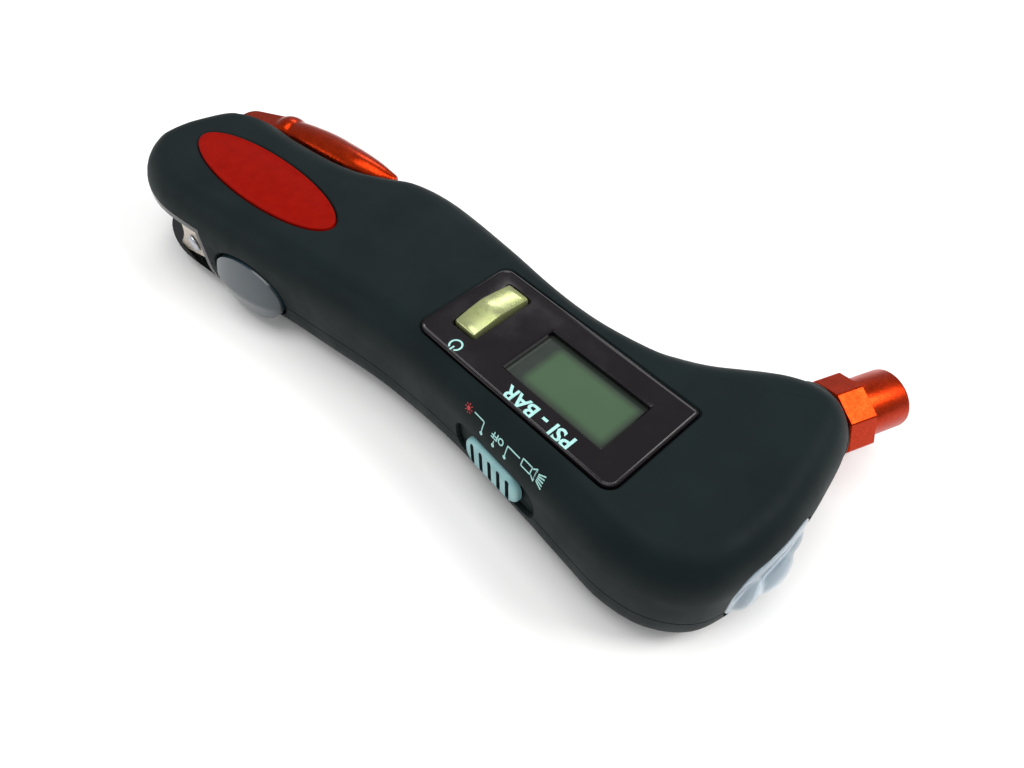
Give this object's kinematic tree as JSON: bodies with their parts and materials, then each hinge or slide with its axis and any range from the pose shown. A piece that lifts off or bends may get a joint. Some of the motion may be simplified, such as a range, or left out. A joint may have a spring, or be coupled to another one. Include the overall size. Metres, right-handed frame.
{
  "type": "tire pressure gauge",
  "caption": "Handheld digital tire pressure gauge with a display, angled air nozzle, torch, red warning light, belt-cutting blade and a swing-out driver arm.",
  "frame": {"origin": "middle of the outer box's underside, on the plane that the gauge lies on", "axes": "+Z out of the face that carries the display; +X from the belt-cutter end to the torch end; +Y to the side of the air nozzle"},
  "size_m": [0.1606, 0.0758, 0.0253],
  "materials": {
    "casing_black": "soft-touch coated ABS",
    "gloss_black": "polished",
    "liner_black": "glossy moulded",
    "lcd_glass": "glossy, unlit display",
    "board_green": "solder mask",
    "white_plastic": "moulded",
    "button_gold": "metallised pale gold",
    "slider_teal": "moulded",
    "release_blue": "satin moulded",
    "orange_anodised": "orange anodised satin",
    "red_lens": "translucent, fine-grained",
    "clear_lens": "clear polycarbonate",
    "steel": "satin",
    "chrome": "metallised",
    "brass": "satin",
    "rubber": "matte",
    "silicone": "matte",
    "part_black": "moulded",
    "wire_red": "PVC insulation",
    "wire_black": "PVC insulation"
  },
  "bodies": {
    "casing": {"air_hose": "silicone", "arm_pin": "steel", "battery_contact": "brass", "battery_cover": "casing_black", "battery_lead_black": "wire_black", "battery_lead_red": "wire_red", "battery_spring": "steel", "belt_blade": "steel", "belt_slot_liner": "liner_black", "blade_rivet": "steel", "bottom_casing": "casing_black", "button_cell_1": "steel", "button_cell_2": "steel", "button_cell_3": "steel", "casing_screw_1": "steel", "casing_screw_2": "steel", "casing_screw_3": "steel", "casing_screw_4": "steel", "circuit_board": "board_green", "contact_strip_far": "silicone", "contact_strip_near": "silicone", "controller_chip": "part_black", "cover_screw": "steel", "display_panel": "gloss_black", "lcd_frame": "part_black", "lcd_glass": "lcd_glass", "mode_switch": "steel", "nozzle_body": "orange_anodised", "nozzle_o_ring": "rubber", "power_switch": "part_black", "pressure_sensor": "white_plastic", "release_spring": "steel", "top_casing": "casing_black", "torch_board": "board_green", "torch_lead_black": "wire_black", "torch_lead_red": "wire_red", "torch_led": "clear_lens", "torch_lens": "clear_lens", "torch_reflector": "chrome", "valve_depressor": "brass", "valve_seal": "rubber", "warning_board": "board_green", "warning_lead_black": "wire_black", "warning_lead_red": "wire_red", "warning_led_1": "red_lens", "warning_led_2": "red_lens", "warning_lens": "red_lens"},
    "power_button": {"power_button": "button_gold"},
    "mode_slider": {"mode_slider": "slider_teal"},
    "release_button": {"release_button": "release_blue"},
    "driver_arm": {"driver_arm": "orange_anodised", "driver_bit": "steel"}
  },
  "joints": [
    {"name": "power_button_press", "type": "slide", "parent": "casing", "child": "power_button", "axis": [0, 0, -1], "range_m": [0, 0.0006], "stiffness_N_per_m": 800},
    {"name": "mode_slider_slide", "type": "slide", "parent": "casing", "child": "mode_slider", "axis": [0.9985, -0.0541, 0], "range_m": [-0.003, 0.003]},
    {"name": "release_button_press", "type": "slide", "parent": "casing", "child": "release_button", "axis": [-0.1908, 0.9816, 0], "range_m": [0, 0.002], "stiffness_N_per_m": 600, "deforming": ["release_spring"]},
    {"name": "driver_arm_swing", "type": "hinge", "parent": "casing", "child": "driver_arm", "pos_m": [-0.0732, -0.00734, 0.0166], "axis": [0, 0, 1], "range_deg": [0, 110]}
  ]
}
